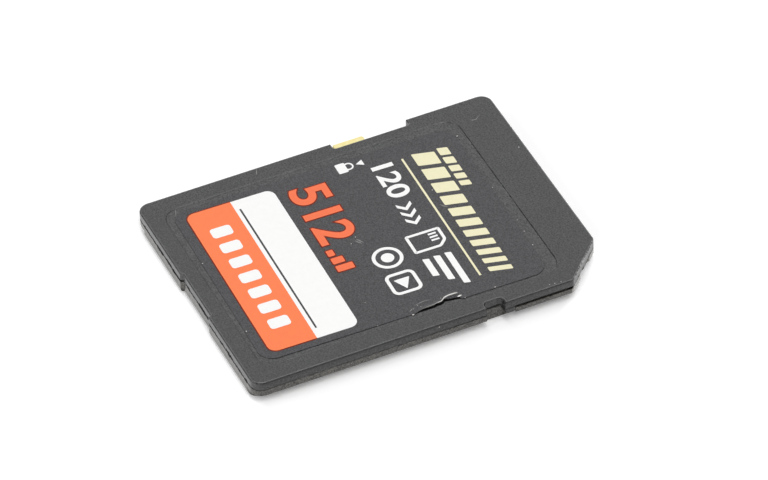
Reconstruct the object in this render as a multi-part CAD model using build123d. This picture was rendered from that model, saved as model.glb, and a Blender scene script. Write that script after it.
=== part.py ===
from build123d import *
from math import radians, sin, sqrt
import os

# SD memory card. Millimetres. The label faces +Z, the contact end points to +Y and the cut
# corner is at +X +Y. The rear face lies on Z = 0 and the card is centred on the Z axis.

# Card outline
card_width = 24.0
card_length = 32.0
card_thickness = 2.1
corner_radius = 1.0
corner_cut = 3.7
cut_front_radius = 0.7
cut_side_radius = 0.3
top_edge_radius = 0.16
bottom_edge_radius = 0.15
rear_edge_radius = 0.4

# Guide rails: the upper part of the card stands out beyond the body below it
rail_thickness = 1.4
rail_width = 0.75
front_step = 0.35

# Finger recess in the middle of the rear end
finger_recess_width = 5.8
finger_recess_depth = 0.22
finger_recess_draft = 0.2

# Walls of the two covers
body_wall = 0.35
rear_wall = 1.0
front_wall = 0.7
floor_thickness = 0.4
roof_thickness = 0.31
inner_corner_radius = 0.4

# Seam between the covers: a fine groove all round, and a stretch that stands open, hollow behind its lip
seam_above_board = 0.15
seam_groove_height = 0.06
seam_groove_depth = 0.08
open_seam_above = 0.1
open_seam_below = 0.18
open_seam_depth = 0.45
open_seam_lip = 0.08
open_seam_undercut = 0.25

# Stretches of the seam at the rear end that have worn open: start, length and height of each
worn_seam_depth = 0.35
worn_seams = [(-9.6, 1.2, 0.13), (-6.9, 1.0, 0.12), (-4.4, 1.9, 0.16), (-1.2, 2.8, 0.12), (3.2, 3.4, 0.1)]

# Locating rim under the front cover: it drops into the rear cover and holds the board down
rim_fit = 0.05
rim_width = 0.5

# Board seat in the rear cover
seat_ledge_width = 0.9
seat_rib_width = 0.6
seat_rib_count = 3
peg_radius = 0.5
peg_fit = 0.05
peg_inset = 1.9

# Lock notch in the right rail, and the front cover's tab beside it
lock_notch_from_front = 9.8
lock_notch_length = 1.65
lock_notch_radius = 0.35
tab_length = 0.85
tab_drop = 0.4
tab_fit = 0.05

# Write-protect notch in the left rail, and the slider in it
slide_notch_from_front = 7.5
slide_notch_length = 6.9
slide_notch_depth = 0.7
slide_notch_radius = 0.25
slider_length = 2.8
slider_end_gap = 0.1
slider_fit = 0.05
slider_top_drop = 0.2
slider_corner_radius = 0.2
slider_edge_radius = 0.08
grip_groove_count = 3
grip_groove_pitch = 0.6
grip_groove_radius = 0.12
neck_length = 2.0
neck_height = 0.3
foot_width = 0.45
foot_gap = 0.12
bay_clearance = 0.15

# Contacts: nine pads on the board, in slots that are open at the front end
corner_contact_inset = 2.0
last_contact_inset = 2.875
seventh_step = 0.97
eighth_step = 0.68
slot_rib_width = 0.8
corner_slot_width = 1.6
contact_side_gap = 0.05
contact_end_gap = 0.2
contact_front_inset = 1.3
contact_length = 4.2
corner_contact_length = 3.3
contact_thickness = 0.05
contact_corner_cut = 0.15
last_contact_width = 1.1
slot_bar_width = 0.8
lip_inset = 0.15

# Circuit board and what it carries
board_thickness = 0.4
board_fit = 0.1
chip_headroom = 0.07
chip_edge_bevel = 0.1
chip_margin = 0.8
chip_gap = 1.0
flash_width = 13.0
controller_width = 6.0
controller_offset = -3.0
pin_mark_radius = 0.4
pin_mark_depth = 0.05
passive_length = 1.0
passive_width = 0.5
passive_headroom = 0.22
passive_cap_length = 0.25
passive_cap_step = 0.03
passive_row_gap = 1.4
capacitor_pitch = 1.8
capacitor_edge_gap = 1.2

# Label recess, and the label in it, stuck on a little askew
recess_side_margin = 1.7
recess_front_margin = 3.9
recess_rear_margin = 1.55
recess_radius = 1.4
recess_depth = 0.07
recess_wall_foot = 0.01
recess_wall_slope = 0.07
label_thickness = 0.05
label_side_gap = 0.17
label_front_gap = 0.9
label_rear_gap = 0.48
label_shift = 0.14
label_turn = -0.9
label_radius = 1.3
crease_from_front = 12.6
crease_length = 4.1
crease_depth = 0.58
crease_shape = [(0, 0), (0.06, 0.42), (0.3, 1), (0.45, 0.48), (0.85, 0.42), (1, 0)]

# How far a cutting shape runs past the face that it cuts
overrun = 1.0

# Levels and places that follow from the sizes above
half_width = card_width / 2
half_length = card_length / 2
side_wall = rail_width + body_wall
contact_level = card_thickness - rail_thickness
board_bottom = contact_level + contact_thickness
board_top = board_bottom + board_thickness
seam_level = board_top + seam_above_board
recess_floor = card_thickness - recess_depth
roof_level = recess_floor - roof_thickness
chip_height = roof_level - board_top - chip_headroom
passive_height = roof_level - board_top - passive_headroom

lock_notch_front = half_length - lock_notch_from_front
lock_notch_rear = lock_notch_front - lock_notch_length
tab_front = lock_notch_front + tab_length
slide_notch_front = half_length - slide_notch_from_front
slide_notch_rear = slide_notch_front - slide_notch_length
slider_rear = slide_notch_rear + slider_end_gap
slider_center = slider_rear + slider_length / 2
slider_travel = slide_notch_length - slider_length - 2 * slider_end_gap
slide_wall_outer = -half_width + slide_notch_depth
slide_wall_inner = -half_width + side_wall
foot_inner = slide_wall_inner + slider_fit + foot_width
slit_height = neck_height + 2 * slider_fit
slit_length = neck_length + slider_travel + 2 * slider_end_gap
slit_center = slider_center + slider_travel / 2
slider_level = (contact_level + card_thickness - slider_top_drop) / 2

contact_span = card_width - corner_contact_inset - last_contact_inset
contact_pitch = contact_span / (6 + seventh_step + eighth_step)
slot_width = contact_pitch - slot_rib_width
corner_contact_x = half_width - corner_contact_inset
contact_x = [corner_contact_x - contact_pitch * step for step in range(1, 7)]
contact_x.append(contact_x[5] - contact_pitch * seventh_step)
contact_x.append(contact_x[6] - contact_pitch * eighth_step)
contact_front = half_length - contact_front_inset
contact_rear = contact_front - contact_length
slot_rear = contact_rear - contact_end_gap
wide_slot_high = contact_x[5] - slot_width / 2 - slot_rib_width
wide_slot_low = contact_x[7] - last_contact_width / 2 - contact_side_gap
seventh_contact_width = 2 * (wide_slot_high - contact_side_gap - contact_x[6])
corner_contact_width = corner_slot_width - 2 * contact_side_gap
cut_line = half_width + half_length - corner_cut
board_cut_line = cut_line - (front_wall + board_fit) * sqrt(2)
corner_contact_front = board_cut_line - corner_contact_x - corner_slot_width / 2
corner_contact_rear = corner_contact_front - corner_contact_length
corner_slot_rear = corner_contact_rear - contact_end_gap

controller_front = slot_rear - passive_row_gap
controller_y = controller_front - controller_width / 2
flash_rear = -half_length + rear_wall + rim_fit + rim_width + chip_margin
flash_front = controller_front - controller_width - chip_gap
flash_length = flash_front - flash_rear
flash_y = (flash_front + flash_rear) / 2
peg_x = half_width - side_wall - peg_inset
peg_y = -half_length + rear_wall + peg_inset

recess_front = half_length - recess_front_margin
recess_rear = -half_length + recess_rear_margin
recess_half_width = half_width - recess_side_margin
label_front = recess_front - label_front_gap
label_rear = recess_rear + label_rear_gap
label_length = label_front - label_rear
label_y = (label_front + label_rear) / 2
label_skew = label_length / 2 * sin(radians(abs(label_turn)))
label_half_width = recess_half_width - abs(label_shift) - label_side_gap - label_skew


def prism(plan, low, high):
    """Raise a plan from one level to another."""
    return Pos(0, 0, low) * extrude(plan, amount=high - low, dir=(0, 0, 1))


def block(x_low, x_high, y_low, y_high, z_low, z_high):
    """A plain block given by its faces, used for cuts and webs."""
    size = Box(x_high - x_low, y_high - y_low, z_high - z_low)
    return Pos((x_low + x_high) / 2, (y_low + y_high) / 2, (z_low + z_high) / 2) * size


def cut_corner_plan(side, rear, front):
    """Card plan with its cut corner, drawn in from the sides, the rear end and the front."""
    x = half_width - side
    y_rear = -half_length + rear
    y_front = half_length - front
    line = cut_line - front * sqrt(2)
    points = [(-x, y_rear), (x, y_rear), (x, line - x), (line - y_front, y_front), (-x, y_front)]
    return make_face(Polyline(*points, close=True))


def corners(plan):
    """Corner points in order along the diagonal that ends at the cut corner."""
    return plan.vertices().sort_by(lambda point: point.X + point.Y)


def rounded_card_plan(side, front):
    """Card plan with rounded corners and the finger recess at the rear end."""
    plan = cut_corner_plan(side, 0, front)
    cut_ends = corners(plan)[-2:].sort_by(Axis.X)
    plan = fillet(cut_ends[:1], cut_front_radius)
    plan = fillet(plan.vertices().sort_by_distance(cut_ends[1])[:1], cut_side_radius)
    plan = fillet(corners(plan)[:3], corner_radius)
    mouth = finger_recess_width / 2
    bottom = mouth - finger_recess_draft
    y_mouth = -half_length
    y_bottom = y_mouth + finger_recess_depth
    y_past = y_mouth - overrun
    points = [(-mouth, y_past), (mouth, y_past), (mouth, y_mouth), (bottom, y_bottom)]
    points += [(-bottom, y_bottom), (-mouth, y_mouth)]
    return plan - make_face(Polyline(*points, close=True))


def inner_plan(gap):
    """Plan of the space inside the covers, drawn in by a gap on every side."""
    plan = cut_corner_plan(side_wall + gap, rear_wall + gap, front_wall + gap)
    return fillet(plan.vertices(), inner_corner_radius)


def notch_plan(x_floor, x_open, y_rear, y_front, radius):
    """Plan of a rail notch, with its two inner corners rounded."""
    width = abs(x_open - x_floor)
    plan = Pos((x_floor + x_open) / 2, (y_rear + y_front) / 2) * Rectangle(width, y_front - y_rear)
    inner = plan.vertices().sort_by(lambda point: abs(point.X - x_floor))[:2]
    return fillet(inner, radius)


def lock_tab_plan():
    """Plan of the front cover's tab, which fills the front of the rear cover's longer lock notch."""
    x_inner = half_width - rail_width + tab_fit
    plan = Pos((x_inner + half_width) / 2, (lock_notch_front + tab_front) / 2)
    plan *= Rectangle(half_width - x_inner, tab_length)
    inner_corner = plan.vertices().sort_by(lambda point: point.X - point.Y)[:1]
    return fillet(inner_corner, lock_notch_radius - tab_fit)


def rail_plan(lock_front):
    """Card plan at rail height, with the lock notch and the write-protect notch cut out."""
    body_side = half_width - rail_width
    lock = notch_plan(body_side, half_width + overrun, lock_notch_rear, lock_front, lock_notch_radius)
    slide = notch_plan(slide_wall_outer, -half_width - overrun, slide_notch_rear, slide_notch_front,
                       slide_notch_radius)
    return rounded_card_plan(0, 0) - lock - slide


def seam_cut(plan):
    """Groove round the seam, with the stretch beside the lock notch standing open."""
    low = seam_level - seam_groove_height / 2
    high = seam_level + seam_groove_height / 2
    groove = prism(plan, low, high) - prism(offset(plan, -seam_groove_depth), low, high)
    open_low = seam_level - open_seam_below
    open_inner = half_width - open_seam_depth
    open_end = half_length - corner_cut
    groove += block(open_inner, half_width + overrun, tab_front, open_end, open_low,
                    seam_level + open_seam_above)
    groove += block(open_inner, half_width - open_seam_lip, tab_front, open_end,
                    open_low - open_seam_undercut, seam_level)
    for start, length, height in worn_seams:
        groove += block(start, start + length, -half_length - overrun, -half_length + worn_seam_depth,
                        seam_level - height / 2, seam_level + height / 2)
    return groove


def slider_bay():
    """Room behind the write-protect notch for the slider's foot."""
    reach = slit_length / 2 + bay_clearance
    return block(-half_width, foot_inner + bay_clearance, slit_center - reach, slit_center + reach,
                 board_bottom, roof_level)


def slider_slit():
    """Slit through the notch wall for the slider's neck."""
    reach = slit_length / 2
    rise = slit_height / 2
    return block(slide_wall_outer - overrun, slide_wall_inner + overrun, slit_center - reach,
                 slit_center + reach, slider_level - rise, slider_level + rise)


def make_front_cover():
    """Upper half: roof with the label recess, skirt, locating rim and lock-notch tab."""
    plan = rail_plan(lock_notch_front)
    cover = prism(plan, seam_level, card_thickness)
    cover = fillet(cover.faces().sort_by(Axis.Z)[-1].edges(), top_edge_radius)
    recess_y = (recess_front + recess_rear) / 2
    recess = RectangleRounded(2 * recess_half_width, recess_front - recess_rear, recess_radius)
    cover -= prism(Pos(0, recess_y) * recess, recess_floor, card_thickness + overrun)
    top_face = cover.faces().sort_by(Axis.Z)[-1]
    rim_edges = top_face.inner_wires()[0].edges()
    cover = chamfer(rim_edges, recess_wall_slope, recess_depth - recess_wall_foot, reference=top_face)
    cover -= prism(inner_plan(0), seam_level, roof_level)
    rim = inner_plan(rim_fit) - inner_plan(rim_fit + rim_width)
    cover += prism(rim, board_top, roof_level) - slider_bay()
    cover -= slider_slit()
    cover -= seam_cut(plan)
    return cover + prism(lock_tab_plan(), seam_level - tab_drop, seam_level + seam_groove_height)


def front_lip():
    """What stays in front of the board above the slots: its underside is the lead-in for the springs."""
    inner_edge = Pos(0, 0, board_bottom) * cut_corner_plan(0, 0, front_wall)
    outer_edge = Pos(0, 0, seam_level) * cut_corner_plan(0, 0, lip_inset)
    return loft([inner_edge, outer_edge], ruled=True)


def contact_slots():
    """The eight slots: the corner one, six alike and a wide one that the last two contacts share."""
    half_corner = corner_slot_width / 2
    spans = [(corner_contact_x - half_corner, corner_contact_x + half_corner, corner_slot_rear)]
    for x in contact_x[:6]:
        spans.append((x - slot_width / 2, x + slot_width / 2, slot_rear))
    spans.append((wide_slot_low, wide_slot_high, slot_rear))
    lip = front_lip()
    return [block(low, high, rear, half_length + overrun, -overrun, seam_level) - lip
            for low, high, rear in spans]


def seat_pocket():
    """Relief in the floor behind the contacts, crossed by ribs that carry the board."""
    x = half_width - side_wall - seat_ledge_width
    rear = -half_length + rear_wall + seat_ledge_width
    front = corner_slot_rear - slot_bar_width
    pocket = block(-x, x, rear, front, floor_thickness, board_bottom)
    pitch = 2 * x / (seat_rib_count + 1)
    for index in range(seat_rib_count):
        rib_x = -x + pitch * (index + 1)
        pocket -= block(rib_x - seat_rib_width / 2, rib_x + seat_rib_width / 2, rear, front,
                        floor_thickness, board_bottom)
    return pocket


def rear_round(x_low, x_high, y_face):
    """What is cut away under a stretch of the rear end to round its bottom edge."""
    corner = block(x_low, x_high, y_face - overrun, y_face + rear_edge_radius, -overrun, rear_edge_radius)
    kept = Cylinder(rear_edge_radius, x_high - x_low + 2 * overrun, rotation=(0, 90, 0))
    return corner - Pos((x_low + x_high) / 2, y_face + rear_edge_radius, rear_edge_radius) * kept


def make_rear_cover():
    """Lower half: floor, body walls, guide rails, contact comb and board seat."""
    plan = rail_plan(tab_front + tab_fit)
    body = prism(rounded_card_plan(rail_width, front_step), 0, contact_level)
    body = fillet(body.faces().sort_by(Axis.Z)[0].edges(), bottom_edge_radius)
    mouth = finger_recess_width / 2
    body -= rear_round(-half_width, -mouth, -half_length)
    body -= rear_round(-mouth, mouth, -half_length + finger_recess_depth)
    body -= rear_round(mouth, half_width, -half_length)
    cover = body + prism(plan, contact_level, seam_level)
    cover -= prism(inner_plan(0), board_bottom, seam_level)
    cover -= seat_pocket()
    for side in (-1, 1):
        peg = prism(Circle(peg_radius), floor_thickness, board_top)
        cover += Pos(side * peg_x, peg_y) * peg
    for slot in contact_slots():
        cover -= slot
    return cover - slider_slit() - seam_cut(plan)


def make_slider():
    """Write-protect slider: gripped tab in the notch, neck through the slit and foot behind it."""
    low = contact_level + slider_fit
    high = card_thickness - slider_top_drop
    outer = -half_width + slider_fit
    inner = slide_wall_outer - slider_fit
    tab = block(outer, inner, slider_rear, slider_rear + slider_length, low, high)
    outer_edges = tab.edges().filter_by(Axis.Z).sort_by(Axis.X)[:2]
    tab = fillet(outer_edges, slider_corner_radius)
    tab = fillet(tab.faces().sort_by(Axis.Z)[-1].edges().sort_by(Axis.X)[:-1], slider_edge_radius)
    for index in range(grip_groove_count):
        y = slider_center + grip_groove_pitch * (index - (grip_groove_count - 1) / 2)
        groove = Cylinder(grip_groove_radius, high - low + 2 * overrun)
        tab -= Pos(outer - grip_groove_radius / 2, y, (low + high) / 2) * groove
    neck_low = slider_center - neck_length / 2
    neck_high = slider_center + neck_length / 2
    neck = block(inner, foot_inner, neck_low, neck_high, slider_level - neck_height / 2,
                 slider_level + neck_height / 2)
    foot = block(foot_inner - foot_width, foot_inner, neck_low, neck_high, board_bottom + foot_gap,
                 roof_level - foot_gap)
    return tab + neck + foot


def make_board():
    """Circuit board: follows the inside of the covers, cut back at the slider, with two peg holes."""
    board = prism(inner_plan(board_fit), board_bottom, board_top) - slider_bay()
    for side in (-1, 1):
        hole = Cylinder(peg_radius + peg_fit, board_thickness + 2 * overrun)
        board -= Pos(side * peg_x, peg_y, (board_bottom + board_top) / 2) * hole
    return board


def make_contact(x, width, rear, front):
    """One contact pad under the board."""
    plan = Rectangle(width, front - rear)
    plan = chamfer(plan.vertices(), contact_corner_cut)
    return prism(Pos(x, (rear + front) / 2) * plan, contact_level, board_bottom)


def contacts():
    """The nine contact pads by number: the ninth stands at the cut corner, two others are narrower."""
    pads = {}
    widths = [slot_width - 2 * contact_side_gap] * 6 + [seventh_contact_width, last_contact_width]
    for index, x in enumerate(contact_x):
        pads[f"contact_pad_{index + 1}"] = make_contact(x, widths[index], contact_rear, contact_front)
    pads["contact_pad_9"] = make_contact(corner_contact_x, corner_contact_width, corner_contact_rear,
                                         corner_contact_front)
    return pads


def make_chip(x, y, width, length):
    """Moulded package on the board, with bevelled top edges and a pin-one dimple."""
    top = board_top + chip_height
    chip = block(x - width / 2, x + width / 2, y - length / 2, y + length / 2, board_top, top)
    chip = chamfer(chip.faces().sort_by(Axis.Z)[-1].edges(), chip_edge_bevel)
    mark = Cylinder(pin_mark_radius, 2 * pin_mark_depth)
    inset = chip_edge_bevel + 2 * pin_mark_radius
    return chip - Pos(x - width / 2 + inset, y + length / 2 - inset, top) * mark


def make_passive(x, y, along_y):
    """Chip capacitor or resistor: a ceramic body between two raised end caps."""
    half = passive_length / 2
    waist = passive_width / 2 - passive_cap_step
    side = passive_width / 2
    body = block(-half, half, -waist, waist, 0, passive_height - passive_cap_step)
    for end in (-1, 1):
        cap_x = end * (half - passive_cap_length / 2)
        reach = passive_cap_length / 2
        body += block(cap_x - reach, cap_x + reach, -side, side, 0, passive_height)
    turn = 90 if along_y else 0
    return Pos(x, y, board_top) * Rot(0, 0, turn) * body


def passives():
    """Capacitors beside the controller and on the right, and a resistor over each of six contacts."""
    chips = {}
    controller_side = controller_offset + controller_width / 2 + chip_gap + passive_length
    edge_side = half_width - side_wall - rim_fit - rim_width - capacitor_edge_gap
    for index in range(3):
        y = controller_y + capacitor_pitch * (index - 1)
        chips[f"capacitor_{index + 1}"] = make_passive(controller_side, y, False)
        y = flash_y + 2 * capacitor_pitch * (index - 1)
        chips[f"capacitor_{index + 4}"] = make_passive(edge_side, y, True)
    for index, x in enumerate(contact_x[:6]):
        chips[f"resistor_{index + 1}"] = make_passive(x, (contact_front + contact_rear) / 2, True)
    return chips


def make_label():
    """Label film, a little askew in its recess, with the crumpled stretch drawn in at its right edge."""
    plan = RectangleRounded(2 * label_half_width, label_length, label_radius)
    crease_front = half_length - crease_from_front - label_y
    crease_rear = crease_front - crease_length
    bite = Spline(*[(label_half_width - deep * crease_depth, crease_front - along * crease_length)
                    for along, deep in crease_shape])
    past = label_half_width + overrun
    outside = Polyline((label_half_width, crease_rear), (past, crease_rear), (past, crease_front),
                       (label_half_width, crease_front))
    plan -= make_face([bite, outside])
    place = Pos(label_shift, label_y) * Rot(0, 0, label_turn)
    return prism(place * plan, recess_floor, recess_floor + label_thickness)


pieces = {
    "front_cover": make_front_cover(),
    "rear_cover": make_rear_cover(),
    "front_label": make_label(),
    "write_protect_slider": make_slider(),
    "circuit_board": make_board(),
    "flash_memory_chip": make_chip(0, flash_y, flash_width, flash_length),
    "controller_chip": make_chip(controller_offset, controller_y, controller_width, controller_width),
}
pieces.update(contacts())
pieces.update(passives())

os.makedirs("parts", exist_ok=True)
for name, piece in pieces.items():
    export_step(piece, f"parts/{name}.step")
print(f"{len(pieces)} pieces, slider travel {slider_travel:.2f} mm, contact pitch {contact_pitch:.2f} mm")
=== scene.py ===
# %% [markdown]
# # A memory card, from solid model to picture
#
# The card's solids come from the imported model. This lesson gives them their finishes, prints the
# label, adds the wear and the dust, and sets up the table, the lamps and the camera. Everything is
# in metres, in the frame of the solids: the label looks up (+Z), the contact end points to +Y and the
# cut corner is at +X +Y.

# %% Load the solids and keep their box
import math
import random
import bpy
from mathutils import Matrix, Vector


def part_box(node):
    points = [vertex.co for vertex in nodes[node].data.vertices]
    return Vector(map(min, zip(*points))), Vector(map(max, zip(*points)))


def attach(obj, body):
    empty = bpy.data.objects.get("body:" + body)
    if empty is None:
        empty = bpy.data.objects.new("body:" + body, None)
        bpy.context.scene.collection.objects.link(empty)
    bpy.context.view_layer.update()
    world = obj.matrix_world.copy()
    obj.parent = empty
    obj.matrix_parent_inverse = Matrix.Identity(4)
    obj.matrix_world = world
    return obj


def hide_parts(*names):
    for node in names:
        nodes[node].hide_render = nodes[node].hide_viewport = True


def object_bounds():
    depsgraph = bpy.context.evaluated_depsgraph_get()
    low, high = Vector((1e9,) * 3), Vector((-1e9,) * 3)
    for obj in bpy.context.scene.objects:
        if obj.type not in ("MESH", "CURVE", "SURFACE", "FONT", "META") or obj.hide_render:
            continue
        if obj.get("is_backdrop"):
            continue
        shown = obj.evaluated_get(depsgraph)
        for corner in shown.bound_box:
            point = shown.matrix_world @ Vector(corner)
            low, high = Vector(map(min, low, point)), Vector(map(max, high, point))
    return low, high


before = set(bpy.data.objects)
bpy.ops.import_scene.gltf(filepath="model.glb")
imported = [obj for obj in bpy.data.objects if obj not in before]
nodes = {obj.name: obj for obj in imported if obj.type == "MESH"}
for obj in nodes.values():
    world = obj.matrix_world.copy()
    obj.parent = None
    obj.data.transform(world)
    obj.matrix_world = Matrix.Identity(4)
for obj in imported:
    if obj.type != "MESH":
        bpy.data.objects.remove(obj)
from types import SimpleNamespace

import bmesh
import bpy
from mathutils import Matrix, Vector

MM = 0.001
scene = bpy.context.scene
cad_low, cad_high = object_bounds()
print("solids:", len(nodes), "box in mm:", [round(side / MM, 2) for side in cad_high - cad_low])

# %% [markdown]
# ## Camera
#
# A small thing on a table is usually photographed with a long lens from half a metre away, and that
# keeps its edges almost parallel. The camera could be placed by eye. Here its angles, its distance and
# the point of the card in the middle of the picture are written down instead, so that every edge of
# the solids falls on the same edge in the photograph.

# %% Camera
AZIMUTH = math.radians(66.41)
ELEVATION = math.radians(42.1)
ROLL = math.radians(-1.91)
DISTANCE = 528.75 * MM
AIM = Vector((0.824, 0.567, 2.1)) * MM
SENSOR_WIDTH = 36.0
FOCAL_LENGTH = 303.8

towards_camera = Vector((
    math.sin(AZIMUTH) * math.cos(ELEVATION),
    -math.cos(AZIMUTH) * math.cos(ELEVATION),
    math.sin(ELEVATION),
))
camera_data = bpy.data.cameras.new("camera")
camera_data.sensor_width = SENSOR_WIDTH
camera_data.lens = FOCAL_LENGTH
camera_data.clip_start = 0.1 * DISTANCE
camera_data.clip_end = 20 * DISTANCE
camera = bpy.data.objects.new("camera", camera_data)
turned = (-towards_camera).to_track_quat("-Z", "Y").to_matrix().to_4x4() @ Matrix.Rotation(ROLL, 4, "Z")
camera.matrix_world = Matrix.Translation(AIM + towards_camera * DISTANCE) @ turned
scene.collection.objects.link(camera)
scene.camera = camera
print("camera stands at (mm)", [round(x / MM, 1) for x in camera.matrix_world.translation])

# %% [markdown]
# ## Colours and nodes
#
# Colours are picked on a screen as sRGB values, but Blender's shaders work with linear light, so one
# function translates. The others start a material, connect a node and add one: an input takes a plain
# value, the output of another node, or a node, which stands for its first output. Inputs go by name or
# number: a Map Range takes a value (0), the range that it reads (1 and 2) and the range that it gives
# (3 and 4), and a Mix takes a share (0) and two numbers (2 and 3) or colours (6 and 7). The name of
# every kind of node starts with ShaderNode, so the calls leave that out.

# %% Helpers for materials
def colour(code):
    """Linear RGBA of an sRGB colour such as "#454547"."""
    shares = [int(code[place:place + 2], 16) / 255 for place in (1, 3, 5)]
    linear = [s / 12.92 if s <= 0.04045 else ((s + 0.055) / 1.055) ** 2.4 for s in shares]
    return (*linear, 1.0)


def new_material(name):
    """A new material, its node tree, and the shader that all its other nodes lead to."""
    material = bpy.data.materials.new(name)
    material.use_nodes = True
    return material, material.node_tree, material.node_tree.nodes["Principled BSDF"]


def connect(node, inputs):
    """Fill or link the inputs of a node, by name or number."""
    for name, value in inputs.items():
        if isinstance(value, bpy.types.Node):
            value = value.outputs[0]
        if isinstance(value, bpy.types.NodeSocket):
            node.id_data.links.new(value, node.inputs[name])
        else:
            node.inputs[name].default_value = value


def add_node(tree, kind, inputs, **settings):
    """Add a node with its settings, and connect it."""
    node = tree.nodes.new("ShaderNode" + kind)
    for name, value in settings.items():
        setattr(node, name, value)
    connect(node, inputs)
    return node


print("mid grey #808080 is", round(colour("#808080")[0], 3), "in linear light")

# %% [markdown]
# ## Table and light
#
# The card lies on a seamless white sheet, a large plane, lit as in a small light tent. Even light from
# the world alone would be simpler, but it would flatten the card. The main light is a strip softbox
# overhead that runs across the card: it is narrow, so the shadows at the card's two ends are short, and
# long, so the one at the near side is soft. A large softbox stands at the far side, where the flat faces
# mirror it, and two smaller ones light the ends. Nothing stands beside the camera, so faces that look
# towards it stay darker.

# %% White sheet
SHEET_SIZE = 6.0
SHEET_DROP = 0.02 * MM

sheet_mesh = bmesh.new()
bmesh.ops.create_grid(sheet_mesh, x_segments=1, y_segments=1, size=SHEET_SIZE / 2)
bmesh.ops.translate(sheet_mesh, verts=sheet_mesh.verts, vec=(0, 0, cad_low.z - SHEET_DROP))
sheet_data = bpy.data.meshes.new("white_sheet")
sheet_mesh.to_mesh(sheet_data)
sheet_mesh.free()
sheet = bpy.data.objects.new("white_sheet", sheet_data)
scene.collection.objects.link(sheet)
sheet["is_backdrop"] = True
print("sheet lies", round((cad_low.z - SHEET_DROP) / MM, 3), "mm from the card's origin")

# %% Softboxes and world
WORLD_LIGHT = 0.12
SOFTBOXES = {
    "overhead_softbox": {"place": (0.22, 0.0, 1.0), "size": (0.3, 1.3), "watts": 6.5},
    "far_softbox": {"place": (-0.9, 0.35, 0.6), "size": (1.1, 1.1), "watts": 4.6},
    "left_softbox": {"place": (0.0, -1.0, 0.6), "size": (0.8, 0.8), "watts": 5.0},
    "right_softbox": {"place": (0.6, 0.45, 0.7), "size": (0.7, 0.7), "watts": 2.6},
}

world = bpy.data.worlds.new("studio")
world.use_nodes = True
connect(world.node_tree.nodes["Background"], {"Color": colour("#ffffff"), "Strength": WORLD_LIGHT})
scene.world = world

for name, softbox in SOFTBOXES.items():
    lamp = bpy.data.lights.new(name, "AREA")
    lamp.shape = "RECTANGLE"
    lamp.size, lamp.size_y = softbox["size"]
    lamp.energy = softbox["watts"]
    holder = bpy.data.objects.new(name, lamp)
    place = Vector(softbox["place"])
    holder.location = place
    holder.rotation_euler = (-place).to_track_quat("-Z", "Y").to_euler()
    scene.collection.objects.link(holder)

scene.view_settings.view_transform = "Standard"
print("softboxes:", ", ".join(SOFTBOXES))

# %% [markdown]
# ## Paper
#
# A bright sheet washes out its own shadow. More light would do that and also bleach the card, so the paper
# glows a little instead, but only for rays that look at it straight, in a reflection or through something
# clear. Past the rear end and the cut corner it glows more: painted light that lifts the card's shadow
# there, as lamps at the sides would.

# %% Glowing paper
SHEET_GLOW = 0.15
# Painted light: more glow past the rear end and the cut corner, which lifts the card's shadow there.
PAINTED_END_LIGHT = 0.2  # what the paper adds to that past the rear end and the cut corner
PAINTED_END_FADE = 0.8  # the extra glow comes in over this distance
CUT_CORNER = 24.3  # across plus along, for points on the slanted side

paper, tree, shader = new_material("seamless_paper")
connect(shader, {"Base Color": colour("#f7f7f7"), "Roughness": 0.9, "Specular IOR Level": 0.1})
sheet_data.materials.append(paper)

on_paper = add_node(tree, "TexCoord", {}).outputs["Object"]
paper_y = add_node(tree, "SeparateXYZ", {0: on_paper}).outputs["Y"]
# Painted light on the paper, growing past the rear end and past the cut corner.
painted_light_past_rear = add_node(
    tree, "MapRange", {0: paper_y, 1: cad_low.y + PAINTED_END_FADE * MM, 2: cad_low.y, 4: PAINTED_END_LIGHT})
slant = add_node(
    tree, "VectorMath", {0: on_paper, 1: (1, 1, 0)}, operation="DOT_PRODUCT").outputs["Value"]
painted_light_past_cut = add_node(
    tree, "MapRange", {0: slant, 1: (CUT_CORNER - PAINTED_END_FADE) * MM, 2: CUT_CORNER * MM, 4: PAINTED_END_LIGHT})
painted_end_light = add_node(tree, "Math", {0: painted_light_past_rear, 1: painted_light_past_cut}, operation="MAXIMUM")
strength = add_node(tree, "Math", {0: painted_end_light, 1: SHEET_GLOW}, operation="ADD")
rays = add_node(tree, "LightPath", {})
seen = rays.outputs["Is Camera Ray"]
for ray in ("Is Glossy Ray", "Is Transmission Ray"):
    seen = add_node(tree, "Math", {0: seen, 1: rays.outputs[ray]}, operation="MAXIMUM")
glow = add_node(tree, "Math", {0: seen, 1: strength}, operation="MULTIPLY")
connect(shader, {"Emission Color": colour("#ffffff"), "Emission Strength": glow})
print("paper glows", SHEET_GLOW, "to", round(SHEET_GLOW + PAINTED_END_LIGHT, 2))

# %% [markdown]
# ## Moulded covers
#
# Both halves of the shell are a dark polycarbonate blend. Their mould was spark-eroded, which leaves a
# fine, even, pebbled grain that breaks up the gloss. A picture of plastic could be wrapped round the
# shell, but it would stretch on the narrow sides. A noise in Object coordinates fills the space that the
# shell stands in, so the grain has one size on every face. The finish is built up in steps, which share
# the places and the noises of this first one.

# %% Places and noises on the shell
GRAIN = 0.13  # pebbles of a spark-eroded mould are nearer 0.05 mm, drawn coarser so that they show
MOTTLE = 2.5  # the size of the faint clouds that handling leaves
CHIP = 0.3  # the size of one rubbed spot on an edge
CLOT = 0.9  # the length of one thicker clot of dirt in the weld
GRIME = 0.35  # the size of one brown spot below the weld
SIDE = cad_high.x  # the long sides stand at this distance from the middle
ENDS_TO = SIDE - 1.2 * MM  # the two ends reach out to here, before the corners
SIDES_FROM = SIDE - 0.3 * MM  # and the long sides start here, after them


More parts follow.
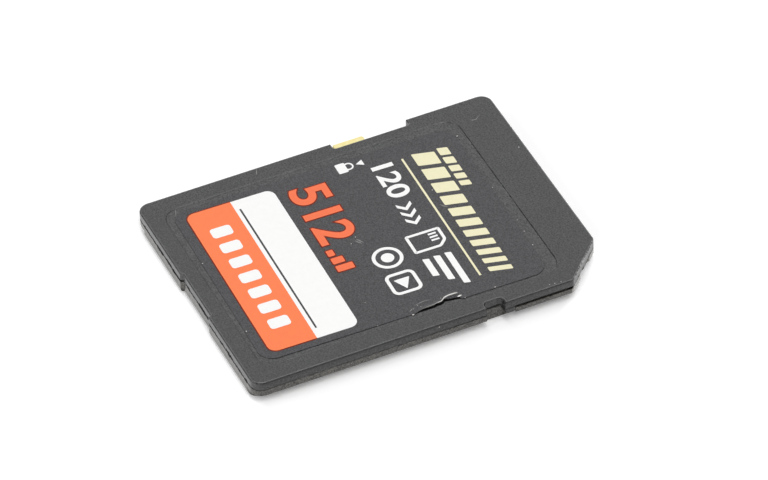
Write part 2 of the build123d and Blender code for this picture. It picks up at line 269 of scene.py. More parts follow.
def shell_surface(tree):
    """Where a point of the shell lies, which way it faces, and the noises there."""
    place = add_node(tree, "TexCoord", {}).outputs["Object"]
    geometry = add_node(tree, "NewGeometry", {})
    facing = add_node(tree, "SeparateXYZ", {0: geometry.outputs["True Normal"]}).outputs
    shell = SimpleNamespace(
        place=place, normal=geometry.outputs["Normal"], faces_x=facing["X"], faces_z=facing["Z"])
    shell.x, shell.y, shell.z = add_node(tree, "SeparateXYZ", {0: place}).outputs
    shell.outward = add_node(tree, "Math", {0: shell.x}, operation="ABSOLUTE")
    shell.at_end = add_node(
        tree, "MapRange", {0: shell.outward, 1: ENDS_TO, 2: SIDES_FROM, 3: 1.0, 4: 0.0})
    shell.slanted = add_node(
        tree, "VectorMath", {0: place, 1: (1, 1, 0)}, operation="DOT_PRODUCT").outputs["Value"]
    noises = {
        "grain": (GRAIN, 3), "mottle": (MOTTLE, 4), "chips": (CHIP, 2),
        "clots": (CLOT, 1), "grime": (GRIME, 2)}
    for name, (size, detail) in noises.items():
        noise = add_node(tree, "TexNoise", {"Vector": place, "Scale": 1 / (size * MM), "Detail": detail})
        setattr(shell, name, noise)
    return shell


print("grain of", GRAIN, "mm, clouds of", MOTTLE, "mm")

# %% [markdown]
# ## Pebbled plastic
#
# The pebbles make the plastic lighter and darker, and the clouds do so faintly. The floor of the label's
# recess, moulded against a polished insert, is painted lighter: a painted sheen. It could have a material
# of its own, but its height is enough to find it.

# %% Pebbled plastic
RECESS_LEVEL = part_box("front_label")[0].z
LEVEL_MARGIN = 0.005  # points this close to that level are on the floor
NOISE_LOW, NOISE_HIGH = 0.3, 0.7  # most of a noise lies between these


def pebbled_colour(tree, shell, base):
    """The plastic's own colour with a painted sheen on the recess floor, before any wear."""
    brightness = add_node(
        tree, "MapRange", {0: shell.grain, 1: NOISE_LOW, 2: NOISE_HIGH, 3: 0.1, 4: 1.9})
    clouds = add_node(
        tree, "MapRange", {0: shell.mottle, 1: NOISE_LOW, 2: NOISE_HIGH, 3: 0.92, 4: 1.08})
    # Painted sheen: the recess floor is made lighter.
    sunk = add_node(
        tree, "Math", {0: shell.z, 1: RECESS_LEVEL, 2: LEVEL_MARGIN * MM}, operation="COMPARE")
    recess_painted_sheen = add_node(tree, "MapRange", {0: sunk, 3: 1.0, 4: 1.2})
    for share in (clouds, recess_painted_sheen):
        brightness = add_node(tree, "Math", {0: brightness, 1: share}, operation="MULTIPLY")
    grained = add_node(tree, "HueSaturation", {"Color": colour(base), "Value": brightness})
    return grained.outputs["Color"]


print("recess floor at", round(RECESS_LEVEL / MM, 3), "mm")

# %% [markdown]
# ## Rubbed edges, painted highlights and painted shade
#
# Edges that rub turn pale, in patches. They could be marked by hand, but the Bevel node finds them: an
# edge is where the normal of a slightly rounded surface leaves the real one. The cut corner meets the
# socket first, so its whole rim is struck. The lower half of its face is paler: partly scraped, partly a
# painted reflection of the sheet. The upper part of the top rim has a painted highlight, and the far wall
# of the label's recess faint painted light. A band on the upper part of the long sides is painted darker:
# painted shade below the rounded rim.

# %% Rubbed edges
WORN_EDGE = 0.09
STRUCK_WIDTH = 0.3  # of the rim at the cut corner
FACE_DEPTH = 0.12  # points this close to the cut corner are on its face
SCRAPE_AND_REFLECTION = (1.2, 1.29)  # between these heights, its paler lower half ends: scraped, and painted reflection of the sheet


def wear_and_painted_light_share(tree, shell):
    """How far each point is rubbed pale or painted with light, from 0 to 1."""
    rounded = add_node(tree, "Bevel", {"Radius": WORN_EDGE * MM}, samples=6)
    bend = add_node(
        tree, "VectorMath", {0: rounded, 1: shell.normal}, operation="DOT_PRODUCT").outputs["Value"]
    wear_and_painted_light = add_node(tree, "MapRange", {0: bend, 1: 0.97, 2: 0.75, 4: 0.8})
    patchy = add_node(tree, "MapRange", {0: shell.mottle, 1: 0.45, 2: 0.6, 3: 0.15, 4: 1.0})
    chipped = add_node(tree, "MapRange", {0: shell.chips, 1: 0.42, 2: 0.62, 3: 0.1, 4: 1.0})
    for share in (patchy, chipped):
        wear_and_painted_light = add_node(tree, "Math", {0: wear_and_painted_light, 1: share}, operation="MULTIPLY")

    # The rounded rim of the top face leans away from straight up. Its upper part gets a painted highlight
    # all round.
    painted_rim_highlight = add_node(tree, "Math", {0: shell.faces_z, 1: 0.92, 2: 0.07}, operation="COMPARE")
    painted_rim_highlight = add_node(tree, "Math", {0: painted_rim_highlight, 1: 0.2}, operation="MULTIPLY")

    # The cut corner's rim, which is struck, and its face, whose paler lower half is partly scraped and
    # partly a painted reflection of the sheet.
    struck = add_node(
        tree, "MapRange", {0: shell.slanted, 1: (CUT_CORNER - STRUCK_WIDTH) * MM, 2: CUT_CORNER * MM})
    whole_rim = add_node(tree, "Math", {0: shell.faces_z, 1: 0.5, 2: 0.48}, operation="COMPARE")
    for share in (whole_rim, chipped):
        struck = add_node(tree, "Math", {0: struck, 1: share}, operation="MULTIPLY")
    at_cut = add_node(
        tree, "Math", {0: shell.slanted, 1: (CUT_CORNER - FACE_DEPTH) * MM}, operation="GREATER_THAN")
    scraped_and_painted_reflection = add_node(
        tree, "MapRange", {0: shell.z, 1: SCRAPE_AND_REFLECTION[0] * MM, 2: SCRAPE_AND_REFLECTION[1] * MM, 3: 0.6, 4: 0.0})
    scraped_and_painted_reflection = add_node(tree, "Math", {0: scraped_and_painted_reflection, 1: at_cut}, operation="MULTIPLY")

    # Painted light lightens the sloped wall at the far side of the label's recess, which faces the near
    # side.
    sloped = add_node(tree, "Math", {0: shell.faces_x, 1: 0.3}, operation="GREATER_THAN")
    painted_light_far_wall = add_node(tree, "Math", {0: shell.x, 1: 0.0}, operation="LESS_THAN")
    for share in (sloped, 0.06):
        painted_light_far_wall = add_node(tree, "Math", {0: painted_light_far_wall, 1: share}, operation="MULTIPLY")

    for share in (painted_rim_highlight, struck, scraped_and_painted_reflection, painted_light_far_wall):
        wear_and_painted_light = add_node(tree, "Math", {0: wear_and_painted_light, 1: share}, operation="MAXIMUM")
    return wear_and_painted_light


print("edges are worn", WORN_EDGE, "mm wide")

# %% Painted shade on the long sides
PAINTED_SHADE_HEIGHTS = (1.74, 1.92)  # between these heights, the painted shade comes in
SIDE_DEPTH = (0.15, 0.05)  # and between these distances from a long side


def painted_shade_share(tree, shell):
    """How far each point of the long sides is painted with shade, from 0 to 1."""
    painted_shade = add_node(tree, "MapRange", {0: shell.z, 1: PAINTED_SHADE_HEIGHTS[0] * MM, 2: PAINTED_SHADE_HEIGHTS[1] * MM, 4: 0.65})
    on_side = add_node(
        tree, "MapRange", {0: shell.outward, 1: SIDE - SIDE_DEPTH[0] * MM, 2: SIDE - SIDE_DEPTH[1] * MM})
    steep = add_node(tree, "Math", {0: shell.faces_z, 1: 0.8}, operation="LESS_THAN")
    for share in (on_side, steep):
        painted_shade = add_node(tree, "Math", {0: painted_shade, 1: share}, operation="MULTIPLY")
    return painted_shade


print("polish starts at", PAINTED_SHADE_HEIGHTS[0], "mm")

# %% [markdown]
# ## Dirt in the weld
#
# Dirt lies in a wandering line along the weld, with thicker clots at the two ends. A socket wipes the two
# long sides, so those have less, but more of it gathers towards the lock notch. The cut corner is rubbed
# clean. Brown spots of old dirt lie below the weld at the ends. Dirt could be modelled in strips, but it
# is too thin to stand out, so colour is enough.

# %% Dirt in the weld
SEAM = 1.31  # the height of the weld between the halves
WANDER = 0.06  # the line of dirt strays this far from the weld
SEAM_DIRT = 0.06  # the dirt reaches this far up and down, and fades as far again
CLOT_REACH = 0.12  # a clot reaches this much further up and down
GATHER = (-1.0, 3.0)  # along the card, more and more gathers between these places
CLEAN = (CUT_CORNER - 0.6, CUT_CORNER - 0.3)  # across plus along, it thins out between these


def dirt_share(tree, shell):
    """How dirty each point beside the weld is, from 0 to 1."""
    wander = add_node(
        tree, "MapRange",
        {0: shell.chips, 1: NOISE_LOW, 2: NOISE_HIGH, 3: -WANDER * MM, 4: WANDER * MM})
    off_weld = shell.z
    for level in (wander, SEAM * MM):
        off_weld = add_node(tree, "Math", {0: off_weld, 1: level}, operation="SUBTRACT")
    off_weld = add_node(tree, "Math", {0: off_weld}, operation="ABSOLUTE")

    clots = add_node(tree, "MapRange", {0: shell.clots, 1: 0.48, 2: 0.62, 4: CLOT_REACH * MM})
    clots = add_node(tree, "Math", {0: clots, 1: shell.at_end}, operation="MULTIPLY")
    core = add_node(tree, "Math", {0: clots, 1: SEAM_DIRT * MM}, operation="ADD")
    fringe = add_node(tree, "Math", {0: core, 1: SEAM_DIRT * MM}, operation="ADD")
    dirt = add_node(tree, "MapRange", {0: off_weld, 1: core, 2: fringe, 3: 1.0, 4: 0.0})

    gathered = add_node(
        tree, "MapRange", {0: shell.y, 1: GATHER[0] * MM, 2: GATHER[1] * MM, 3: 0.2, 4: 0.65})
    unwiped = add_node(
        tree, "MapRange", {0: shell.outward, 1: ENDS_TO, 2: SIDES_FROM, 3: 1.0, 4: gathered})
    clean = add_node(
        tree, "MapRange", {0: shell.slanted, 1: CLEAN[0] * MM, 2: CLEAN[1] * MM, 3: 1.0, 4: 0.3})
    for share in (unwiped, clean):
        dirt = add_node(tree, "Math", {0: dirt, 1: share}, operation="MULTIPLY")
    return dirt


def spotted_share(tree, shell):
    """How brown each point below the weld is, from 0 to 1."""
    spots = add_node(tree, "MapRange", {0: shell.grime, 1: 0.56, 2: 0.66, 4: 0.6})
    below = add_node(tree, "Math", {0: shell.z, 1: SEAM * MM}, operation="LESS_THAN")
    for share in (below, shell.at_end):
        spots = add_node(tree, "Math", {0: spots, 1: share}, operation="MULTIPLY")
    return spots


print("dirt reaches", SEAM_DIRT, "mm from the weld")

# %% [markdown]
# ## The covers' finish
#
# Each kind of wear, dirt, painted light and painted shade is a share between 0 and 1, and here each lays
# its colour over those below.
# The sides slid along the mould when the shell was pushed out, so they are smoother than the faces. Dirt
# is dull. The rear cover is from a slightly browner and paler batch than the front one.

# %% Moulded cover material
GRAIN_DEPTH = 0.02


def moulded_polycarbonate(name, base, pale_wear_and_highlight_colour, side_gloss):
    """Dark moulded shell: pebbled faces, smoother sides, pale rubbed edges, a dirty weld, painted
    highlights and painted shade.
    """
    material, tree, shader = new_material(name)
    shell = shell_surface(tree)
    dirt = dirt_share(tree, shell)
    coats = [
        # Pale rubbed edges, with painted highlights and painted light mixed in.
        (wear_and_painted_light_share(tree, shell), pale_wear_and_highlight_colour),
        # Painted shade: a darker band on the upper part of the long sides.
        (painted_shade_share(tree, shell), "#111112"),
        (dirt, "#0c0b0a"),
        (spotted_share(tree, shell), "#2a231c"),
    ]
    tint = pebbled_colour(tree, shell, base)
    for share, coat in coats:
        mixed = add_node(tree, "Mix", {0: share, 6: tint, 7: colour(coat)}, data_type="RGBA")
        tint = mixed.outputs[2]
    connect(shader, {"Base Color": tint, "IOR": 1.5})

    level = add_node(tree, "Math", {0: shell.faces_z}, operation="ABSOLUTE")
    pebbled = add_node(tree, "MapRange", {0: level, 1: 0.3, 2: 0.9})
    matt = add_node(
        tree, "MapRange", {0: shell.grain, 1: NOISE_LOW, 2: NOISE_HIGH, 3: 0.28, 4: 0.42})
    gloss = add_node(tree, "Mix", {0: pebbled, 2: side_gloss, 3: matt})
    dull = add_node(tree, "Mix", {0: dirt, 2: gloss, 3: 0.9})
    depth = add_node(tree, "MapRange", {0: pebbled, 3: 0.05, 4: 0.5})
    relief = add_node(
        tree, "Bump", {"Height": shell.grain, "Strength": depth, "Distance": GRAIN_DEPTH * MM})
    connect(shader, {"Roughness": dull, "Normal": relief})
    return material


def dress(node, material):
    """Give a CAD node one finish."""
    nodes[node].data.materials.clear()
    nodes[node].data.materials.append(material)


dress("front_cover", moulded_polycarbonate("moulded_polycarbonate_front", "#373738", "#b4b4b2", 0.25))
dress("rear_cover", moulded_polycarbonate("moulded_polycarbonate_rear", "#52504c", "#b4b1ac", 0.12))
print("pebbles are", GRAIN_DEPTH, "mm deep")

# %% [markdown]
# ## Small mouldings, laminate and ceramics
#
# The slider is moulded acetal, the board is glass-fibre laminate under green solder mask, the two
# packages are black moulding compound and the small parts on the board are fired ceramic. None of them
# has one even colour: pigment, glass and filler leave faint clouds of a known size. The materials could
# be built one by one, but they differ only in their two colours, the clouds' size, the gloss and the
# relief, so one function makes them.

# %% A material from clouds of a real size
def clouded(name, low, high, size, gloss, relief, specular=0.5):
    """Colour, gloss and height follow one noise; size and relief are in millimetres."""
    material, tree, shader = new_material(name)
    place = add_node(tree, "TexCoord", {}).outputs["Object"]
    noise = add_node(tree, "TexNoise", {"Vector": place, "Scale": 1 / (size * MM), "Detail": 4.0})
    spread = add_node(tree, "MapRange", {0: noise, 1: 0.35, 2: 0.65})
    blend = add_node(tree, "Mix", {0: spread, 6: colour(low), 7: colour(high)}, data_type="RGBA")
    rough = add_node(tree, "MapRange", {0: spread, 3: gloss[0], 4: gloss[1]})
    bumps = add_node(tree, "Bump", {"Height": noise, "Strength": 0.4, "Distance": relief * MM})
    connect(shader, {"Base Color": blend.outputs[2], "Specular IOR Level": specular})
    connect(shader, {"Roughness": rough, "Normal": bumps})
    return material


# Acetal comes out of its mould waxy and slightly cloudy.
acetal = clouded("moulded_acetal_yellow", "#eedf97", "#f3e6a8", 0.4, (0.38, 0.5), 0.004)
dress("write_protect_slider", acetal)
# Solder mask is a thin glossy lacquer, and the glass cloth under it shows as a slight quilting.
laminate = clouded("solder_mask_on_laminate", "#0f4a2c", "#17603a", 0.5, (0.25, 0.4), 0.006)
dress("circuit_board", laminate)
# Moulding compound is full of ground silica, which makes it matt and faintly speckled.
for package in ("flash_memory_chip", "controller_chip"):
    dress(package, clouded("moulded_epoxy_" + package, "#1b1b1c", "#29292b", 0.08, (0.55, 0.7), 0.006))
print("dressed the slider, the board and two packages")

# %% [markdown]
# ## Gold contacts
#
# The pads are copper, plated with nickel and then hard gold. Each time the card goes into a socket, the
# springs wipe the pads lengthwise and leave fine bright lines. They could be modelled as strips, but
# there are far too many. A noise that a Mapping node stretches along the card gives them all.

# %% Gold plate
WIPE_WIDTH = 0.03
WIPE_LENGTH = 1.5

gold, tree, shader = new_material("hard_gold_plate")
place = add_node(tree, "TexCoord", {}).outputs["Object"]
stretched = add_node(
    tree, "Mapping",
    {"Vector": place, "Scale": (1 / (WIPE_WIDTH * MM), 1 / (WIPE_LENGTH * MM), 1 / (WIPE_WIDTH * MM))})
wipes = add_node(tree, "TexNoise", {"Vector": stretched, "Scale": 1.0, "Detail": 3.0})
tone = add_node(tree, "Mix", {0: wipes, 6: colour("#c9963f"), 7: colour("#f2cf83")}, data_type="RGBA")
polish = add_node(tree, "MapRange", {0: wipes, 1: NOISE_LOW, 2: NOISE_HIGH, 3: 0.18, 4: 0.36})
connect(shader, {"Base Color": tone.outputs[2], "Roughness": polish, "Metallic": 1.0})

pads = sorted(name for name in nodes if name.startswith("contact_pad_"))
for pad in pads:
    dress(pad, gold)
print("gold pads:", len(pads))

# %% [markdown]
# ## Capacitors and resistors
#
# A chip capacitor is a brown ceramic block and a chip resistor a black glazed one. Both are dipped in
# metal at their two ends, so that they can be soldered. The block could be cut in three to hold two
# finishes. Here the material compares each point with the block's own box and changes to tin near both
# ends of its longer side.

# %% Ceramic with tinned ends
BARE_SHARE = 0.55  # the bare middle, as a share of half the block's length


def tinned_ceramic(node, low, high):
    """A fired block whose two ends are metal."""
    corner, far_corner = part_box(node)
    middle = (corner + far_corner) / 2
    half = (far_corner - corner) / 2
    axis = 0 if half.x > half.y else 1
    material = clouded("fired_ceramic_" + node, low, high, 0.15, (0.35, 0.5), 0.004)
    tree = material.node_tree
    shader = tree.nodes["Principled BSDF"]
    place = add_node(tree, "TexCoord", {}).outputs["Object"]
    shifted = add_node(tree, "VectorMath", {0: place, 1: middle}, operation="SUBTRACT")
    split = add_node(tree, "SeparateXYZ", {0: shifted})
    reach = add_node(tree, "Math", {0: split.outputs[axis]}, operation="ABSOLUTE")
    end = add_node(tree, "Math", {0: reach, 1: BARE_SHARE * half[axis]}, operation="GREATER_THAN")
    bare = shader.inputs["Base Color"].links[0].from_socket
    mixed = add_node(tree, "Mix", {0: end, 6: bare, 7: colour("#cfcfd1")}, data_type="RGBA")
    connect(shader, {"Base Color": mixed.outputs[2], "Metallic": end})
    return material


CERAMICS = {"capacitor": ("#8a5f3c", "#a87a52"), "resistor": ("#1c1d20", "#2c2e33")}
dipped = [name for name in sorted(nodes) if name.split("_")[0] in CERAMICS]
for name in dipped:
    dress(name, tinned_ceramic(name, *CERAMICS[name.split("_")[0]]))
print("tinned blocks:", len(dipped))

# %% [markdown]
# ## Label film
#
# The label is a printed film, a twentieth of a millimetre thick, stuck into the recess of the front
# cover. It lies almost a degree askew. At one place of its right edge it has been pushed in, so that
# the film folded up and its ink cracked white along the fold. The model has the bite in the film's
# edge, but not the fold. So this piece replaces it: one sheet, cut finer where it is creased, moved
# there point by point, and then given its thickness.

# %% Size of the label, from the model's box
LABEL_TURN = math.radians(-0.9)
LABEL_CORNER = 1.3

label_low, label_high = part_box("front_label")
label_middle = (label_low + label_high) / 2
film = (label_high.z - label_low.z) / MM
lean, upright = math.sin(abs(LABEL_TURN)), math.cos(LABEL_TURN)
reach_x = (label_high.x - label_low.x) / 2 / MM - LABEL_CORNER
reach_y = (label_high.y - label_low.y) / 2 / MM - LABEL_CORNER
square = upright ** 2 - lean ** 2
half_width = LABEL_CORNER + (reach_x * upright - reach_y * lean) / square
half_length = LABEL_CORNER + (reach_y * upright - reach_x * lean) / square
print("label", round(2 * half_width, 2), "by", round(2 * half_length, 2), "by", round(film, 2), "mm")

# %% Flat sheet with a fine patch at the crease
PATCH_WIDTH = 1.3
PATCH_STEPS = 4
PATCH_REAR = 0.2
PATCH_CUTS = 23
MARGIN = 0.01  # points this close to the patch still belong to it
MERGE = 0.001  # points this close to each other are one

label_mesh = bmesh.new()
bmesh.ops.create_grid(label_mesh, x_segments=1, y_segments=1, size=1.0)
bmesh.ops.scale(label_mesh, verts=label_mesh.verts, vec=(half_width, half_length, 1.0))
bmesh.ops.bevel(
    label_mesh, geom=label_mesh.verts[:], offset=LABEL_CORNER, affect="VERTICES", segments=10, profile=0.5,
    material=-1)
patch_left = half_width - PATCH_WIDTH
patch_front = PATCH_REAR + PATCH_STEPS * PATCH_WIDTH
cuts = [((patch_left, 0, 0), (1, 0, 0))]
cuts += [((0, PATCH_REAR + step * PATCH_WIDTH, 0), (0, 1, 0)) for step in range(PATCH_STEPS + 1)]
for point, across in cuts:
    everything = label_mesh.verts[:] + label_mesh.edges[:] + label_mesh.faces[:]
    bmesh.ops.bisect_plane(label_mesh, geom=everything, plane_co=point, plane_no=across, dist=MERGE)
patch = {
    vertex for vertex in label_mesh.verts
    if vertex.co.x > patch_left - MARGIN and PATCH_REAR - MARGIN < vertex.co.y < patch_front + MARGIN
}
patch_edges = [edge for edge in label_mesh.edges if patch.issuperset(edge.verts)]
bmesh.ops.subdivide_edges(label_mesh, edges=patch_edges, cuts=PATCH_CUTS, use_grid_fill=True)
print("label sheet has", len(label_mesh.faces), "faces")

# %% Crease the sheet
CREASE_FRONT = 4.785
CREASE_LENGTH = 4.1
BITE = [
    (0.0, 0.0), (0.06, 0.28), (0.42, 0.36), (0.83, 0.4), (1.23, 0.47), (1.39, 0.5), (1.6, 0.32),
    (1.84, 0.27), (2.1, 0.3), (2.4, 0.21), (2.9, 0.18), (3.3, 0.2), (3.7, 0.15), (4.1, 0.0),
]
FOLD_LINE = [
    (0.0, 0.8), (0.5, 0.77), (0.8, 0.76), (1.07, 0.7), (1.32, 0.62), (1.5, 0.46), (1.7, 0.34),
    (1.95, 0.33), (2.35, 0.25), (3.1, 0.24), (4.1, 0.05),
]
FOLD_HEIGHT = [(0.0, 0.0), (0.25, 0.08), (1.2, 0.13), (2.0, 0.1), (3.2, 0.07), (4.1, 0.0)]
FOLD_WIDTH = 0.2
CRACK = [(0.0, 0.0), (0.15, 0.9), (0.6, 1.0), (1.3, 1.0), (1.7, 0.6), (2.3, 0.3), (3.3, 0.1), (4.1, 0.0)]
CRACK_WIDTH = 0.055


def between(points, place):
    """Height at one place of a line through a few points, level beyond its ends."""
    for (start, low), (end, high) in zip(points, points[1:]):
        if place <= end:
            return low + (high - low) * max(0.0, place - start) / (end - start)
    return points[-1][1]


scuff = label_mesh.verts.layers.float.new("scuff")
for vertex in label_mesh.verts:
    along = CREASE_FRONT - vertex.co.y
    inset = half_width - vertex.co.x
    if inset < PATCH_WIDTH and 0 < along < CREASE_LENGTH:
        vertex.co.x -= between(BITE, along) * (1 - inset / PATCH_WIDTH) ** 2
        off_fold = half_width - vertex.co.x - between(FOLD_LINE, along)
        vertex.co.z = between(FOLD_HEIGHT, along) * math.exp(-(off_fold / FOLD_WIDTH) ** 2)
        vertex[scuff] = between(CRACK, along) * math.exp(-(off_fold / CRACK_WIDTH) ** 2)
print("highest fold", round(max(vertex.co.z for vertex in label_mesh.verts), 3), "mm")

# %% [markdown]
# ## Printed film finish
#
# The film has a satin lacquer over dark ink, finely speckled and a little smoother than the covers. Where
# the fold broke the ink, the pale film shows. That line could be a piece on top, but the crease stored its
# strength at every point, so the material can read it back as an attribute. The film's edge that faces the
# rear is painted a little paler than its face: partly the paler cut edge, partly painted light that keeps
# that edge from reading as a dark line.

# %% Printed film
film_ink = clouded("lacquered_print_film", "#1a191d", "#474649", 0.12, (0.3, 0.46), 0.016)
tree = film_ink.node_tree
shader = tree.nodes["Principled BSDF"]
dark_ink = shader.inputs["Base Color"].links[0].from_socket
cracked = add_node(tree, "Attribute", {}, attribute_name="scuff").outputs["Fac"]
bared = add_node(tree, "Mix", {0: cracked, 6: dark_ink, 7: colour("#f4f2ee")}, data_type="RGBA")
film_normal = add_node(tree, "NewGeometry", {}).outputs["True Normal"]
rearward = add_node(tree, "SeparateXYZ", {0: film_normal}).outputs["Y"]
# Painted light: the rear-facing edge of the film is made paler.
rear_edge_painted_light = add_node(tree, "MapRange", {0: rearward, 1: -0.5, 2: -0.9, 4: 0.3})
edged = add_node(tree, "Mix", {0: rear_edge_painted_light, 6: bared.outputs[2], 7: colour("#9a9a9c")}, data_type="RGBA")
connect(shader, {"Base Color": edged.outputs[2]})
print("film finish has", len(tree.nodes), "nodes")

# %% Make the film a piece
def thicken(mesh, height):
    """Turn a flat sheet into a closed plate by pushing a copy of it up."""
    pushed = bmesh.ops.extrude_face_region(mesh, geom=mesh.faces[:])["geom"]
    raised = [part for part in pushed if isinstance(part, bmesh.types.BMVert)]
    bmesh.ops.translate(mesh, verts=raised, vec=(0, 0, height))
    bmesh.ops.recalc_face_normals(mesh, faces=mesh.faces[:])


def make_piece(mesh, name, material, place):
    """Make a finished piece of a mesh, moved by the matrix place; it rides on the card."""
    bmesh.ops.transform(mesh, matrix=place, verts=mesh.verts)
    data = bpy.data.meshes.new(name)
    mesh.to_mesh(data)
    mesh.free()
    data.materials.append(material)
    piece = bpy.data.objects.new(name, data)
    scene.collection.objects.link(piece)
    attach(piece, "card")
    return piece


thicken(label_mesh, film)
from_mm = Matrix.Scale(MM, 4)
in_recess = Matrix.Translation((label_middle.x, label_middle.y, label_low.z))
in_recess = in_recess @ Matrix.Rotation(LABEL_TURN, 4, "Z") @ from_mm
label = make_piece(label_mesh, "label_film", film_ink, in_recess)
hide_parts("front_label")
print("label film has", len(label.data.polygons), "faces")

# %% [markdown]
# ## Painted shadow along the bitten edge
#
# Where the film was pushed back, a narrow black strip lies along its bitten edge: painted shadow of the
# gap under the lifted film. The cover's material could be dark there, but a thin plate can follow the
# bitten edge exactly. It starts as a grid one cell wide. Its points move so that it runs from a little
# under the bitten edge out to the film's old straight edge, or as far as the strip's width reaches.

# %% Painted shadow along the bitten edge
SHADOW_STRIP_STEPS = 40
SHADOW_STRIP_HEIGHT = 0.006
SHADOW_STRIP_WIDTH = 0.2
UNDER_FILM = 0.15

shadow_strip_mesh = bmesh.new()
bmesh.ops.create_grid(shadow_strip_mesh, x_segments=SHADOW_STRIP_STEPS, y_segments=1, size=1.0)
for vertex in shadow_strip_mesh.verts:
    along = CREASE_LENGTH * (vertex.co.x + 1) / 2
    bite = between(BITE, along)
    inset = max(0.0, bite - SHADOW_STRIP_WIDTH) if vertex.co.y > 0 else bite + UNDER_FILM
    vertex.co = (half_width - inset, CREASE_FRONT - along, 0.0)
thicken(shadow_strip_mesh, SHADOW_STRIP_HEIGHT)
# Painted shadow: near-black and matt, for the gap under the lifted film.
painted_shadow_black = clouded("painted_shadow_matt_black", "#020202", "#080808", 0.1, (0.8, 0.95), 0.01, 0.1)
make_piece(shadow_strip_mesh, "painted_shadow_strip", painted_shadow_black, in_recess)
print("bared strip is up to", SHADOW_STRIP_WIDTH, "mm wide")

# %% [markdown]
# ## Printing inks
#
# The print is opaque ink, less than a hundredth of a millimetre thick. An image could be laid on the
# film, but ink as thin closed plates stays sharp at any distance. Its edge catches a little light, as
# the real one does. Each ink is slightly clouded, because it dries unevenly. Printers let neighbouring
# inks overlap a little, so that no bare gap opens between them: round everything orange, the overlap with
# the dark ink leaves a thin dark red line.

# %% Inks
INK = 0.008
OVERLAP = 0.1

white_ink = clouded("screen_ink_white", "#f2f2f1", "#f4f4f3", 0.5, (0.4, 0.5), 0.002)
gold_ink = clouded("screen_ink_pale_gold", "#e9e3bc", "#ece6c2", 0.5, (0.38, 0.48), 0.002)
orange_ink = clouded("screen_ink_orange", "#f6773d", "#f87b40", 0.5, (0.38, 0.48), 0.002)
vermilion_ink = clouded("screen_ink_vermilion", "#f06b39", "#f36f3c", 0.5, (0.38, 0.48), 0.002)
overlap_ink = clouded("overprint_dark_red", "#742b1f", "#7e3023", 0.5, (0.75, 0.85), 0.002, 0.1)
black_ink = clouded("screen_ink_black", "#2b2b2d", "#343436", 0.5, (0.4, 0.5), 0.002)
print("ink is", INK, "mm thick and overlaps by", OVERLAP, "mm")

# %% Print on the film
PRINT_SHIFT = Vector((0.03, 0.167, 0.0))  # the print isn't quite in the middle of the film
PRINT_TURN = math.radians(-1.12)

print_middle = label_middle + PRINT_SHIFT * MM
print_middle.z = label_high.z
on_film = Matrix.Translation(print_middle) @ Matrix.Rotation(PRINT_TURN, 4, "Z") @ from_mm


def print_ink(mesh, name, material, layer=0):
    """Give flat shapes in label millimetres the ink's thickness and lay them on the film."""
    thicken(mesh, INK)
    bmesh.ops.translate(mesh, verts=mesh.verts, vec=(0, 0, layer * INK))
    make_piece(mesh, name, material, on_film)


def add_plate(mesh, corners, rounding=0.0, rounded=None):
    """One flat shape from its corners, all or some of them rounded."""
    points = [mesh.verts.new((across, along, 0.0)) for across, along in corners]
    mesh.faces.new(points)
    if rounding:
        picked = [points[number] for number in rounded] if rounded else points
        bmesh.ops.bevel(
            mesh, geom=picked, offset=rounding, affect="VERTICES", segments=8, profile=0.5, material=-1)


def add_bar(mesh, left, right, low, high, slant=0.0, rounding=0.0, rounded=None):
    """One bar; slant is how far its upper edge is shifted to the right."""
    corners = [(left, low), (right, low), (right + slant, high), (left + slant, high)]
    add_plate(mesh, corners, rounding, rounded)


print("print lies at", round(print_middle.z / MM, 3), "mm")

# %% [markdown]
# ## Fields of colour at the rear
#
# A white field to write on and an orange field below it share one rounded outline. They could be cut
# from one plate, but two plates with two rounded corners each are simpler. A thin dark line is ruled
# along the foot of the white one. The orange one holds a row of white blocks, like the perforation of a
# film, as a plain ornament. They are printed over the orange, so they lie one ink layer higher, and the
# orange lies over its dark red edge.

# %% White and orange fields
FIELD_HALF = 9.05
FIELD_TOP = -4.03
FIELD_SPLIT = -7.78
FIELD_BOTTOM = -11.82
FIELD_CORNER = 0.75
RULED_LINE = -7.36
RULED_HALF = 7.9
RULED_WIDTH = 0.16

white_field = bmesh.new()
add_bar(
    white_field, -FIELD_HALF, FIELD_HALF, FIELD_SPLIT, FIELD_TOP, rounding=FIELD_CORNER, rounded=(2, 3))
print_ink(white_field, "white_field", white_ink)

field_layers = [("orange_field_edge", overlap_ink, OVERLAP), ("orange_field", orange_ink, 0.0)]
for layer, (name, ink, grow) in enumerate(field_layers):
    orange_field = bmesh.new()
    half, bottom, corner = FIELD_HALF + grow, FIELD_BOTTOM - grow, FIELD_CORNER + grow
    add_bar(orange_field, -half, half, bottom, FIELD_SPLIT, rounding=corner, rounded=(0, 1))
    print_ink(orange_field, name, ink, layer)

ruled_line = bmesh.new()
add_bar(ruled_line, -RULED_HALF, RULED_HALF, RULED_LINE - RULED_WIDTH / 2, RULED_LINE + RULED_WIDTH / 2)
print_ink(ruled_line, "ruled_line", black_ink, layer=1)
print("fields are", 2 * FIELD_HALF, "mm wide")

# %% White blocks
BLOCKS = 7
BLOCK_PITCH = 2.0
BLOCK_WIDTH = 1.2
BLOCK_HEIGHT = 1.8
BLOCK_CORNER = 0.3

perforation = bmesh.new()
low = (FIELD_SPLIT + FIELD_BOTTOM - BLOCK_HEIGHT) / 2
for number in range(BLOCKS):
    left = (number - (BLOCKS - 1) / 2) * BLOCK_PITCH - BLOCK_WIDTH / 2
    add_bar(perforation, left, left + BLOCK_WIDTH, low, low + BLOCK_HEIGHT, rounding=BLOCK_CORNER)
print_ink(perforation, "white_blocks", white_ink, layer=2)
print("blocks in the orange field:", BLOCKS)

